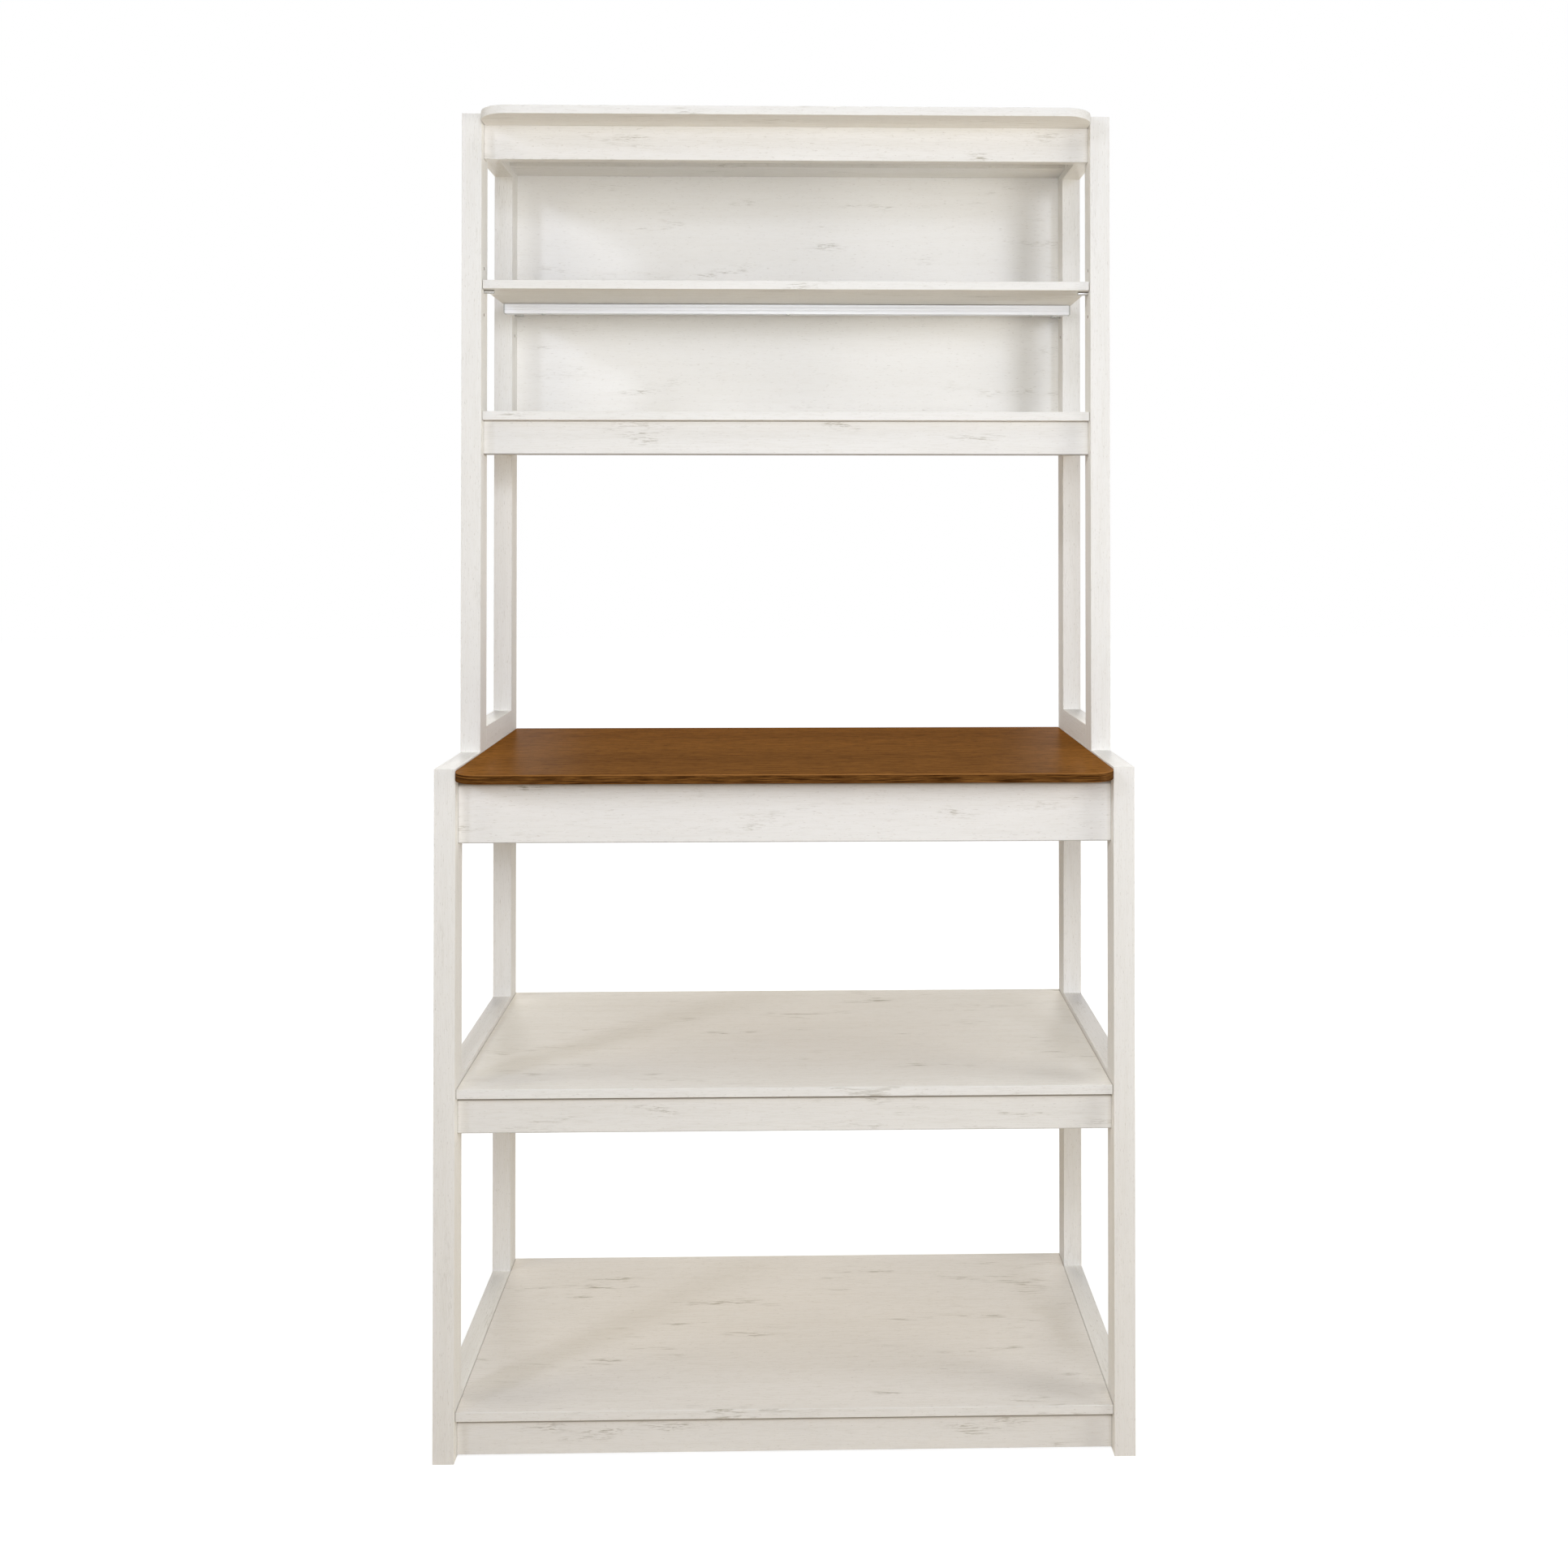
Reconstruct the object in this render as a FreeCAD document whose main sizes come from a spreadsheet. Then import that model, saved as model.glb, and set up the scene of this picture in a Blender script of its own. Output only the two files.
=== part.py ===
"""Bakers rack: open shelving base with a set-back hutch, built from joined boards.

Frame: +Z up, +X to the right of someone facing the rack, +Y towards the wall behind it.
Origin: on the floor, under the middle of the rack's bounding box.
Every length is in millimetres.
"""
import FreeCAD, Part
import Sketcher
import os
import re

DOC = FreeCAD.newDocument("BakersRack")
SHEET = DOC.addObject("Spreadsheet::Sheet", "Sizes")

SIZES = {
    # overall
    "rack_width": 889,
    "rack_height": 1746,
    "base_height": 874,
    "base_depth": 400,
    "hutch_depth": 255,
    # stock
    "post_width": 27,
    "post_depth": 39,
    "board_thick": 12,
    "apron_thick": 15,
    "apron_height": 47,
    "worktop_apron_height": 83,
    "side_rail_height": 47,
    "worktop_rail_height": 60,
    "hutch_rail_height": 30,
    "hutch_top_rail_height": 35,
    "shelf_rail_height": 39,
    "hidden_rail_height": 30,
    "flat_rail_depth": 60,
    "back_thick": 3,
    "edge_ease": 0.8,
    # where the boards lie: the height of each top face or its drop below the rack's top,
    # and how far each front is set back
    "bottom_shelf_top": 62,
    "mid_shelf_top": 468,
    "fixed_shelf_drop": 407,
    "adjustable_shelf_drop": 227,
    "worktop_drop": 2,
    "mid_rail_rise": 6,
    "shelf_setback": 5,
    "apron_setback": 15,
    "rear_rail_setback": 10,
    "worktop_overhang": 34,
    "worktop_corner": 36,
    "top_overhang": 44,
    "top_corner": 42,
    "board_gap": 0.4,
    "loose_gap": 1,
    "back_inset": 6,
    "back_drop": 3,
    # wooden dowels between rails and posts
    "dowel_diameter": 8,
    "dowel_length": 30,
    "dowel_in_post": 12,
    "dowel_clearance": 0.1,
    "dowel_pitch": 32,
    "dowel_pitch_narrow": 14,
    # small dowels between board ends and side rails
    "peg_diameter": 6,
    "peg_length": 24,
    "peg_in_rail": 10,
    "peg_inset": 60,
    # cam fittings between cross rails and posts
    "cam_diameter": 15,
    "cam_depth": 12,
    "cam_slot": 2,
    "cam_slot_length": 8,
    "cam_distance": 24,
    "cam_bolt_diameter": 6,
    "cam_bolt_in_post": 11,
    "cam_head_diameter": 8,
    "cam_head_length": 3,
    "cam_rise": 5.5,
    "dowel_fall": 8,
    "fitting_clearance": 0.15,
    # bolts that hold the hutch down on the base
    "bolt_diameter": 6,
    "bolt_head_diameter": 12,
    "bolt_head_height": 3,
    "bolt_inset": 40,
    "insert_diameter": 10,
    "insert_length": 15,
    # pins and pin holes of the adjustable shelf
    "pin_diameter": 5,
    "pin_in_post": 8,
    "pin_reach": 14,
    "pin_flat": 0.2,
    "pin_seat_gap": 0.3,
    "pin_running_gap": 0.05,
    "pin_hole_depth": 10,
    "pin_hole_pitch": 32,
    "pin_inset": 18,
    # stiffener bar under the adjustable shelf
    "bar_height": 13.5,
    "bar_depth": 15,
    "bar_wall": 1.6,
    "bar_groove": 0.6,
    "bar_setback": 130,
    "bar_gap": 1,
    "bar_side_gap": 2,
    "bar_cap_thick": 2,
    "bar_screw_spread": 358,
    "screw_diameter": 3.6,
    "screw_bite": 8,
    "screw_head_diameter": 8,
    "screw_head_height": 2,
    # nails of the back panel
    "nail_diameter": 1.6,
    "nail_length": 15,
    "nail_head_diameter": 4,
    "nail_head": 0.8,
    "nail_margin": 22,
}
for row, (alias, value) in enumerate(SIZES.items(), start=1):
    SHEET.set(f"A{row}", alias)
    SHEET.set(f"B{row}", str(value))
    SHEET.setAlias(f"B{row}", alias)
DOC.recompute()

# ---------------------------------------------------------------- places, as expressions
HALF = "rack_width/2"
INNER = "(rack_width/2-post_width)"
FRAME_MIDDLE = "(rack_width-post_width)/2"
FRONT = "(worktop_overhang-base_depth-back_thick-nail_head)/2"
REAR = f"({FRONT}+base_depth)"
HUTCH_FRONT = f"({REAR}-hutch_depth)"
BASE_POST_BACK = f"({FRONT}+post_depth)"
HUTCH_POST_BACK = f"({HUTCH_FRONT}+post_depth)"
REAR_POST_FRONT = f"({REAR}-post_depth)"
WORKTOP_TOP = "(base_height-worktop_drop)"
FIXED_TOP = "(rack_height-fixed_shelf_drop)"
LOOSE_TOP = "(rack_height-adjustable_shelf_drop)"
PIN_HEIGHT = f"({LOOSE_TOP}-board_thick-pin_seat_gap+pin_flat-pin_diameter/2)"
BAR_TOP = f"({LOOSE_TOP}-board_thick-bar_gap)"
BAR_FRONT = f"({HUTCH_FRONT}+shelf_setback+bar_setback)"
SIDES = tuple(zip(("left", "right"), (-1, 1)))


def bound(text):
    """A FreeCAD expression with each size name pointed at its cell."""
    return re.sub(r"[a-z][a-z_]+", lambda found: "Sizes." + found.group(), str(text))


def bind(thing, prop, text):
    thing.setExpression(prop, bound(text))


def place(thing, spot):
    for letter, text in zip("xyz", spot):
        bind(thing, f"Placement.Base.{letter}", text)


# ---------------------------------------------------------------- boards, posts and rails
LOW = {}
HIGH = {}
NODES = {}
UP = FreeCAD.Vector(0, 0, 1)
DRAFT = 10.0
PLANES = {"x": "YZ_Plane", "y": "XZ_Plane", "z": "XY_Plane"}
ACROSS = {"x": "yz", "y": "xz", "z": "xy"}
LEVEL_WITHIN = 0.001


def origin_plane(body, role):
    return next(part for part in body.Origin.OriginFeatures if part.Role == role)


def sketch_on(body, name, axis, height):
    """A sketch square to an axis, at a height along it."""
    sketch = body.newObject("Sketcher::SketchObject", name)
    sketch.AttachmentSupport = (origin_plane(body, PLANES[axis]), [""])
    sketch.MapMode = "FlatFace"
    sign = "-1*" if axis == "y" else ""
    bind(sketch, "AttachmentOffset.Base.z", f"{sign}({height})")
    return sketch


def measure(sketch, what, text):
    """A sketch dimension bound to an expression. It is drafted first, then the sheet sets it."""
    last = sketch.addConstraint(Sketcher.Constraint(*what, DRAFT))
    bind(sketch, f"Constraints[{last}]", text)


def rectangle(sketch, width, depth, inset=0):
    """A closed rectangle, its two sides bound to expressions. Returns its first line."""
    near, far = inset, DRAFT - inset
    corners = ((near, near), (far, near), (far, far), (near, far))
    points = [FreeCAD.Vector(a, b, 0) for a, b in corners]
    first = sketch.GeometryCount
    for index in range(4):
        sketch.addGeometry(Part.LineSegment(points[index], points[(index + 1) % 4]))
    for index in range(4):
        after = first + (index + 1) % 4
        sketch.addConstraint(Sketcher.Constraint("Coincident", first + index, 2, after, 1))
    for index, kind in enumerate(("Horizontal", "Vertical", "Horizontal", "Vertical")):
        sketch.addConstraint(Sketcher.Constraint(kind, first + index))
    measure(sketch, ("DistanceX", first, 1, first, 2), width)
    measure(sketch, ("DistanceY", first + 1, 1, first + 1, 2), depth)
    return first


def long_edges(shape, axis):
    """Names of a shape's straight edges that run along an axis."""
    names = []
    for index, edge in enumerate(shape.Edges, start=1):
        ends = [vertex.Point for vertex in edge.Vertexes]
        if len(ends) == 2:
            run = ends[1] - ends[0]
            if abs(getattr(run, axis)) > 0.999 * run.Length:
                names.append(f"Edge{index}")
    return names


def level_edges(shape):
    """Names of the edges that bound a flat board's top and bottom faces."""
    names = []
    for index, edge in enumerate(shape.Edges, start=1):
        box = edge.BoundBox
        if box.ZLength < LEVEL_WITHIN:
            names.append(f"Edge{index}")
    return names


def rounded(body, name, base, names, radius):
    feature = body.newObject("PartDesign::Fillet", name)
    feature.Base = (base, names)
    bind(feature, "Radius", radius)
    return feature


def board(name, low, high, ease="x", corner=None):
    """A rectangular board between two corners, with its long edges eased.

    A board with a corner radius has its two front corners rounded, and all its edges eased.
    """
    body = DOC.addObject("PartDesign::Body", name)
    body.Label = name
    size = [f"({b})-({a})" for a, b in zip(low, high)]
    sketch = sketch_on(body, name + "_outline", "z", "0")
    outline = rectangle(sketch, size[0], size[1])
    sketch.addConstraint(Sketcher.Constraint("Coincident", outline, 1, -1, 1))
    pad = body.newObject("PartDesign::Pad", name + "_blank")
    pad.Profile = sketch
    bind(pad, "Length", size[2])
    DOC.recompute()
    base = pad
    if corner:
        fronts = []
        for edge in long_edges(pad.Shape, "z"):
            if pad.Shape.getElement(edge).CenterOfMass.y < pad.Shape.BoundBox.Center.y:
                fronts.append(edge)
        base = rounded(body, name + "_corners", pad, fronts, corner)
        DOC.recompute()
        rounded(body, name + "_eased", base, level_edges(base.Shape), "edge_ease")
    else:
        rounded(body, name + "_eased", pad, long_edges(pad.Shape, ease), "edge_ease")
    DOC.recompute()
    place(body, low)
    LOW[name] = low
    HIGH[name] = high
    NODES[name] = body
    return name


def drill(name, way, spots, diameter, depth):
    """Round holes bored into a board's face. way is the drill's direction, such as -x."""
    body = NODES[name]
    sign, axis = way
    low = dict(zip("xyz", LOW[name]))
    high = dict(zip("xyz", HIGH[name]))
    face = "0" if sign == "+" else f"({high[axis]})-({low[axis]})"
    count = sum(1 for part in body.Group if part.TypeId == "PartDesign::Pocket")
    sketch = sketch_on(body, f"{name}_holes_{count}", axis, face)
    for spot in spots:
        where = dict(zip("xyz", spot))
        here = [f"({where[letter]})-({low[letter]})" for letter in ACROSS[axis]]
        circle = sketch.addGeometry(Part.Circle(FreeCAD.Vector(DRAFT, DRAFT, 0), UP, DRAFT / 2))
        measure(sketch, ("DistanceX", -1, 1, circle, 3), here[0])
        measure(sketch, ("DistanceY", -1, 1, circle, 3), here[1])
        measure(sketch, ("Diameter", circle), diameter)
    pocket = body.newObject("PartDesign::Pocket", f"{name}_bore_{count}")
    pocket.Profile = sketch
    bind(pocket, "Length", depth)
    # a pocket cuts against its sketch's normal, and the XZ plane's normal is -Y
    pocket.Reversed = (sign == "+") != (axis == "y")


# ---------------------------------------------------------------- identical fasteners
def primitive(kind, name, **lengths):
    shape = DOC.addObject("Part::" + kind, name)
    for prop, text in lengths.items():
        bind(shape, prop, text)
    return shape


def cut(name, base, tool):
    result = DOC.addObject("Part::Cut", name)
    result.Base = base
    result.Tool = tool
    return result


TURNS = {
    "+z": FreeCAD.Rotation(),
    "-z": FreeCAD.Rotation(FreeCAD.Vector(1, 0, 0), 180),
    "+x": FreeCAD.Rotation(FreeCAD.Vector(0, 1, 0), 90),
    "-x": FreeCAD.Rotation(FreeCAD.Vector(0, 1, 0), -90),
    "+y": FreeCAD.Rotation(FreeCAD.Vector(1, 0, 0), -90),
    "-y": FreeCAD.Rotation(FreeCAD.Vector(1, 0, 0), 90),
}


def fasteners(name, master, spots):
    """One node of identical solids: links to a master that points up, turned and placed."""
    links = []
    for index, (way, spot) in enumerate(spots):
        link = DOC.addObject("App::Link", f"{name}_{index}")
        link.LinkedObject = master
        link.Placement = FreeCAD.Placement(FreeCAD.Vector(), TURNS[way])
        place(link, spot)
        links.append(link)
    group = DOC.addObject("Part::Compound", name)
    group.Label = name
    group.Links = links
    NODES[name] = group


def turned(name, *steps):
    """A turned pin or screw from stacked cylinders: (radius, length) from the origin up."""
    parts = []
    start = "0"
    for index, (radius, length) in enumerate(steps):
        part = primitive("Cylinder", f"{name}_{index}", Radius=radius, Height=length)
        bind(part, "Placement.Base.z", start)
        start = f"{start}+{length}"
        parts.append(part)
    whole = DOC.addObject("Part::MultiFuse", name)
    whole.Shapes = parts
    return whole


# ---------------------------------------------------------------- side frames
# each rail: (lower face, upper face, pitch of its two dowels)
BASE_RAILS = {
    "top_rail": ("base_height-worktop_rail_height", "base_height", "dowel_pitch"),
    "mid_rail": (
        "mid_shelf_top+mid_rail_rise-side_rail_height",
        "mid_shelf_top+mid_rail_rise",
        "dowel_pitch",
    ),
    "bottom_rail": ("bottom_shelf_top-side_rail_height", "bottom_shelf_top", "dowel_pitch"),
}
HUTCH_RAILS = {
    "top_rail": ("rack_height-hutch_top_rail_height", "rack_height", "dowel_pitch_narrow"),
    "shelf_rail": (f"{FIXED_TOP}-shelf_rail_height", FIXED_TOP, "dowel_pitch_narrow"),
    "bottom_rail": ("base_height", "base_height+hutch_rail_height", "dowel_pitch_narrow"),
}
DOWEL_HOLE = "dowel_diameter+2*dowel_clearance"
DOWEL_DEPTH_POST = "dowel_in_post+dowel_clearance"
DOWEL_DEPTH_RAIL = "dowel_length-dowel_in_post+dowel_clearance"
PEG_HOLE = "peg_diameter+2*dowel_clearance"


def frame_x(sign):
    """Outer and inner faces of a side frame, low side first."""
    if sign < 0:
        return f"-{HALF}", f"-{INNER}"
    return INNER, HALF


def middle_x(sign):
    return f"{sign}*{FRAME_MIDDLE}"


def dowel_heights(rail):
    low, high, pitch = rail
    middle = f"(({low})+({high}))/2"
    return [f"{middle}-{pitch}/2", f"{middle}+{pitch}/2"]


def side_frame(prefix, sign, front, post_back, low, high, rails):
    """Two posts and the rails between them. Returns the spots of the rails' dowels."""
    left, right = frame_x(sign)
    middle = middle_x(sign)
    front_post = board(f"{prefix}_front_post", (left, front, low), (right, post_back, high), "z")
    rear_post = board(f"{prefix}_rear_post", (left, REAR_POST_FRONT, low), (right, REAR, high), "z")
    dowels = []
    for rail_name, rail in rails.items():
        rail_low, rail_high, _ = rail
        name = f"{prefix}_{rail_name}"
        board(name, (left, post_back, rail_low), (right, REAR_POST_FRONT, rail_high), "y")
        spots = [(middle, post_back, height) for height in dowel_heights(rail)]
        drill(name, "+y", spots, DOWEL_HOLE, DOWEL_DEPTH_RAIL)
        drill(name, "-y", spots, DOWEL_HOLE, DOWEL_DEPTH_RAIL)
        drill(front_post, "-y", spots, DOWEL_HOLE, DOWEL_DEPTH_POST)
        drill(rear_post, "+y", spots, DOWEL_HOLE, DOWEL_DEPTH_POST)
        for height in dowel_heights(rail):
            dowels.append(("+y", (middle, f"{post_back}-dowel_in_post", height)))
            dowels.append(("-y", (middle, f"{REAR_POST_FRONT}+dowel_in_post", height)))
    return dowels


frame_dowels = []
for side, sign in SIDES:
    frame_dowels += side_frame(
        f"base_{side}", sign, FRONT, BASE_POST_BACK, "0", "base_height", BASE_RAILS
    )
    frame_dowels += side_frame(
        f"hutch_{side}", sign, HUTCH_FRONT, HUTCH_POST_BACK, "base_height", "rack_height", HUTCH_RAILS
    )
dowel = primitive("Cylinder", "dowel", Radius="dowel_diameter/2", Height="dowel_length")
fasteners("frame_dowels", dowel, frame_dowels)

# ---------------------------------------------------------------- cross rails
# each: (section, front or rear post, top, height)
CROSS_RAILS = {
    "worktop_apron": ("base", "front", f"{WORKTOP_TOP}-board_thick", "worktop_apron_height"),
    "mid_shelf_apron": ("base", "front", "mid_shelf_top-board_thick", "apron_height"),
    "bottom_shelf_apron": ("base", "front", "bottom_shelf_top-board_thick", "apron_height"),
    "fixed_shelf_apron": ("hutch", "front", f"{FIXED_TOP}-board_thick", "apron_height"),
    "top_apron": ("hutch", "front", "rack_height-board_thick", "apron_height"),
    "worktop_rear_rail": ("base", "rear", f"{WORKTOP_TOP}-board_thick", "apron_height"),
    "mid_shelf_rear_rail": ("base", "rear", "mid_shelf_top-board_thick", "apron_height"),
    "bottom_shelf_rear_rail": ("base", "rear", "bottom_shelf_top-board_thick", "apron_height"),
    "fixed_shelf_rear_rail": ("hutch", "rear", f"{FIXED_TOP}-board_thick", "hidden_rail_height"),
}
CAM_BOLT_HOLE = "cam_bolt_diameter+2*fitting_clearance"
cross_dowels = []
cam_bolts = []
cam_nuts = []


def cross_rail(name, section, row, top, height):
    """A rail between the two side frames, with a dowel and a cam fitting at each end."""
    if row == "front":
        near = f"({FRONT if section == 'base' else HUTCH_FRONT}+apron_setback)"
        cam_way = "-y"
    else:
        near = f"({REAR}-rear_rail_setback-apron_thick)"
        cam_way = "+y"
    far = f"({near}+apron_thick)"
    low = f"({top}-{height})"
    board(name, (f"-{INNER}", near, low), (INNER, far, f"({top})"))
    middle = f"({near}+apron_thick/2)"
    centre = f"({top}-{height}/2)"
    dowel_height = f"({centre}-dowel_fall)"
    cam_height = f"({centre}+cam_rise)"
    for side, sign in SIDES:
        into_post = "-x" if sign < 0 else "+x"
        into_rail = "+x" if sign < 0 else "-x"
        post = f"{section}_{side}_{row}_post"
        end = f"{sign}*{INNER}"
        dowel_spot = (end, middle, dowel_height)
        cam_spot = (end, middle, cam_height)
        drill(name, into_rail, [dowel_spot], DOWEL_HOLE, DOWEL_DEPTH_RAIL)
        drill(post, into_post, [dowel_spot], DOWEL_HOLE, DOWEL_DEPTH_POST)
        drill(name, into_rail, [cam_spot], "cam_head_diameter+2*fitting_clearance", "cam_distance")
        drill(post, into_post, [cam_spot], CAM_BOLT_HOLE, "cam_bolt_in_post+fitting_clearance")
        nut_x = f"{sign}*({INNER}-cam_distance)"
        nut_hole = "cam_diameter+2*fitting_clearance"
        drill(name, cam_way, [(nut_x, middle, cam_height)], nut_hole, "cam_depth+fitting_clearance")
        start = f"{sign}*({INNER}+dowel_in_post)"
        cross_dowels.append((into_rail, (start, middle, dowel_height)))
        bolt_start = f"{sign}*({INNER}+cam_bolt_in_post)"
        cam_bolts.append((into_rail, (bolt_start, middle, cam_height)))
        mouth = far if row == "front" else near
        cam_nuts.append((cam_way, (nut_x, mouth, cam_height)))


for rail_name, (section, row, top, height) in CROSS_RAILS.items():
    cross_rail(rail_name, section, row, top, height)
fasteners("cross_rail_dowels", dowel, cross_dowels)

CAM_SHANK = "cam_bolt_in_post+cam_distance-cam_diameter/2-cam_head_length-fitting_clearance"
cam_bolt = turned(
    "cam_bolt",
    ("cam_bolt_diameter/2", f"({CAM_SHANK})"),
    ("cam_head_diameter/2", "cam_head_length"),
)
fasteners("cam_bolts", cam_bolt, cam_bolts)

cam_disc = primitive("Cylinder", "cam_disc", Radius="cam_diameter/2", Height="cam_depth")
cam_slit = primitive(
    "Box", "cam_slit", Length="cam_slot_length", Width="cam_slot", Height="cam_slot"
)
place(cam_slit, ("-cam_slot_length/2", "-cam_slot/2", "0"))
cam_nut = cut("cam_nut", cam_disc, cam_slit)
fasteners("cam_nuts", cam_nut, cam_nuts)

# the rail under the back of the top lies flat, its face against the top's underside
FLAT_TOP = "(rack_height-board_thick)"
flat_front = f"({REAR}-flat_rail_depth)"
board(
    "top_rear_rail",
    (f"-{INNER}", flat_front, f"({FLAT_TOP}-board_thick)"),
    (INNER, REAR, FLAT_TOP),
)

# ---------------------------------------------------------------- shelves and tops
END = f"({INNER}-board_gap)"
BOARDS = {
    "bottom_shelf": (f"{FRONT}+shelf_setback", "bottom_shelf_top", None, "base", "bottom_rail"),
    "mid_shelf": (f"{FRONT}+shelf_setback", "mid_shelf_top", None, "base", "mid_rail"),
    "worktop": (f"{FRONT}-worktop_overhang", WORKTOP_TOP, "worktop_corner", "base", "top_rail"),
    "fixed_shelf": (f"{HUTCH_FRONT}+shelf_setback", FIXED_TOP, None, "hutch", "shelf_rail"),
    "top_panel": (f"{HUTCH_FRONT}-top_overhang", "rack_height", "top_corner", "hutch", "top_rail"),
}
pegs = []
for name, (front, top, corner, section, rail) in BOARDS.items():
    low = (f"-{END}", f"({front})", f"({top}-board_thick)")
    board(name, low, (END, REAR, f"({top})"), "x", corner)
    post_back = BASE_POST_BACK if section == "base" else HUTCH_POST_BACK
    height = f"({top}-board_thick/2)"
    spots = [(END, f"{post_back}+peg_inset", height), (END, f"{REAR_POST_FRONT}-peg_inset", height)]
    for side, sign in SIDES:
        into_board = "+x" if sign < 0 else "-x"
        into_rail = "-x" if sign < 0 else "+x"
        peg_out = "peg_length-peg_in_rail-board_gap+dowel_clearance"
        drill(name, into_board, spots, PEG_HOLE, peg_out)
        drill(f"{section}_{side}_{rail}", into_rail, spots, PEG_HOLE, "peg_in_rail+dowel_clearance")
        for _, along, level in spots:
            pegs.append((into_board, (f"{sign}*({INNER}+peg_in_rail)", along, level)))
peg = primitive("Cylinder", "peg", Radius="peg_diameter/2", Height="peg_length")
fasteners("board_pegs", peg, pegs)

# ---------------------------------------------------------------- hutch bolts
RAIL_BOTTOM = "base_height-worktop_rail_height"
bolts = []
inserts = []
for side, sign in SIDES:
    middle = middle_x(sign)
    spots = [
        (middle, f"{HUTCH_POST_BACK}+bolt_inset", "base_height"),
        (middle, f"{REAR_POST_FRONT}-bolt_inset", "base_height"),
    ]
    bolt_hole = "bolt_diameter+2*fitting_clearance"
    drill(f"base_{side}_top_rail", "+z", spots, bolt_hole, "worktop_rail_height")
    insert_hole = "insert_diameter+2*fitting_clearance"
    insert_deep = "insert_length+fitting_clearance"
    drill(f"hutch_{side}_bottom_rail", "+z", spots, insert_hole, insert_deep)
    for _, along, _ in spots:
        bolts.append(("+z", (middle, along, f"{RAIL_BOTTOM}-bolt_head_height")))
        inserts.append(("+z", (middle, along, "base_height")))
bolt = turned(
    "bolt",
    ("bolt_head_diameter/2", "bolt_head_height"),
    ("bolt_diameter/2", "(worktop_rail_height+insert_length)"),
)
fasteners("hutch_bolts", bolt, bolts)
insert_body = primitive("Cylinder", "insert_body", Radius="insert_diameter/2", Height="insert_length")
insert_bore = primitive(
    "Cylinder", "insert_bore", Radius="bolt_diameter/2+fitting_clearance", Height="insert_length"
)
insert_nut = cut("insert_nut", insert_body, insert_bore)
fasteners("hutch_insert_nuts", insert_nut, inserts)

# ---------------------------------------------------------------- back panel and its nails
BACK_X = f"({HALF}-back_inset)"
BACK_LOW = f"({FIXED_TOP}-shelf_rail_height)"
BACK_HIGH = "(rack_height-back_drop)"
BACK_FACE = f"({REAR}+back_thick)"
board("back_panel", (f"-{BACK_X}", REAR, BACK_LOW), (BACK_X, BACK_FACE, BACK_HIGH), "x")
NAIL_ROWS = 5
nails = []
for side, sign in SIDES:
    step = f"(({BACK_HIGH})-({BACK_LOW})-2*nail_margin)/{NAIL_ROWS - 1}"
    spots = [
        (middle_x(sign), BACK_FACE, f"{BACK_LOW}+nail_margin+{index}*{step}")
        for index in range(NAIL_ROWS)
    ]
    nail_hole = "nail_diameter+2*dowel_clearance"
    drill("back_panel", "-y", spots, nail_hole, "back_thick")
    nail_deep = "nail_length-back_thick+dowel_clearance"
    drill(f"hutch_{side}_rear_post", "-y", spots, nail_hole, nail_deep)
    nails += [("-y", (x, f"{BACK_FACE}+nail_head", z)) for x, _, z in spots]
nail = turned(
    "nail", ("nail_head_diameter/2", "nail_head"), ("nail_diameter/2", "nail_length")
)
fasteners("back_panel_nails", nail, nails)

# ---------------------------------------------------------------- adjustable shelf
LOOSE_END = f"({INNER}-loose_gap)"
board(
    "adjustable_shelf",
    (f"-{LOOSE_END}", f"({HUTCH_FRONT}+shelf_setback)", f"({LOOSE_TOP}-board_thick)"),
    (LOOSE_END, f"({REAR}-loose_gap)", LOOSE_TOP),
)
BAR_MIDDLE = f"({BAR_FRONT}+bar_depth/2)"
screw_spots = [(x, BAR_MIDDLE, BAR_TOP) for x in ("-bar_screw_spread", "0", "bar_screw_spread")]
SCREW_HOLE = "screw_diameter+2*dowel_clearance"
drill("adjustable_shelf", "+z", screw_spots, SCREW_HOLE, "screw_bite+dowel_clearance")

# four pins, each half in its hole in a post and half under the shelf
PIN_ROWS = {
    "front": f"({HUTCH_FRONT}+pin_inset)",
    "rear": f"({REAR}-pin_inset)",
}
for row, along in PIN_ROWS.items():
    for side, sign in SIDES:
        into_post = "-x" if sign < 0 else "+x"
        heights = [f"({PIN_HEIGHT}+{step}*pin_hole_pitch)" for step in (-1, 0, 1)]
        spots = [(f"{sign}*{INNER}", along, height) for height in heights]
        hole = "pin_diameter+2*pin_running_gap"
        drill(f"hutch_{side}_{row}_post", into_post, spots, hole, "pin_hole_depth")
        name = f"shelf_pin_{row}_{side}"
        rod = primitive(
            "Cylinder", name + "_rod", Radius="pin_diameter/2", Height="pin_in_post+pin_reach"
        )
        rod.Placement = FreeCAD.Placement(FreeCAD.Vector(), TURNS["-x" if sign > 0 else "+x"])
        bind(rod, "Placement.Base.x", f"{-sign}*(-pin_in_post)")
        flat = primitive(
            "Box", name + "_flat", Length="pin_reach", Width="pin_diameter", Height="pin_diameter"
        )
        flat_x = "0" if sign < 0 else "-pin_reach"
        place(flat, (flat_x, "-pin_diameter/2", "pin_diameter/2-pin_flat"))
        pin = cut(name, rod, flat)
        pin.Label = name
        place(pin, (f"{sign}*{INNER}", along, PIN_HEIGHT))
        NODES[name] = pin

# ---------------------------------------------------------------- stiffener bar
BAR_END = f"({LOOSE_END}-bar_side_gap)"
TUBE_END = f"({BAR_END}-bar_cap_thick)"
BAR_LOW = f"({BAR_TOP}-bar_height)"

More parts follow.
